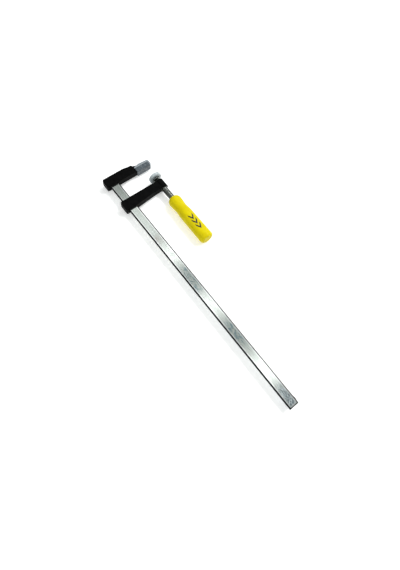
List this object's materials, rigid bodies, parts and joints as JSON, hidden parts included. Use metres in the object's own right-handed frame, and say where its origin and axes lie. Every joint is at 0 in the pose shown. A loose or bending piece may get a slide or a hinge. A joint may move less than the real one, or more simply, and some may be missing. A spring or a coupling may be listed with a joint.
{
  "type": "f clamp",
  "caption": "F clamp with a long flat notched bar, cast fixed jaw, cast sliding arm, screw spindle, swivel pad and straight plastic handle.",
  "frame": {"origin": "centre line of the spindle on the fixed jaw's clamping face, which is the outer face of its cap", "axes": "+X along the bar from the fixed jaw to the free end, +Y from the bar towards the jaws, +Z out of the upper broad face"},
  "size_m": [0.6011, 0.1161, 0.0306],
  "materials": {
    "plated_bar": "dull zinc plate with faint mottling",
    "black_casting": "black paint over a cast surface",
    "plated_spindle": "bright zinc plate",
    "clear_cap": "soft translucent grey plastic",
    "yellow_plastic": "smooth moulded plastic"
  },
  "bodies": {
    "rail": {"bar": "plated_bar", "fixed_jaw": "black_casting", "jaw_pins": "black_casting", "fixed_jaw_cap": "clear_cap"},
    "arm": {"sliding_arm": "black_casting"},
    "carrier": {"neck_washer": "plated_spindle"},
    "screw": {"spindle": "plated_spindle", "handle": "yellow_plastic"},
    "pad": {"pad_disc": "plated_spindle", "pad_cap": "clear_cap"}
  },
  "joints": [
    {"name": "arm_slide", "type": "slide", "parent": "rail", "child": "arm", "axis": [1, 0, 0], "range_m": [0, 0.492]},
    {"name": "spindle_travel", "type": "slide", "parent": "arm", "child": "carrier", "axis": [-1, 0, 0], "range_m": [-0.0004, 0.0238]},
    {"name": "spindle_spin", "type": "hinge", "parent": "carrier", "child": "screw", "pos_m": [0.09, 0, 0], "axis": [-1, 0, 0], "range_deg": [-60, 3430]},
    {"name": "pad_tilt", "type": "hinge", "parent": "carrier", "child": "pad", "pos_m": [0.0353, 0, 0], "axis": [0, 0, 1], "range_deg": [-8, 8]}
  ],
  "couplings": [
    {"joint": "spindle_spin", "follows": "spindle_travel", "rad_per_m": 2513.3}
  ]
}
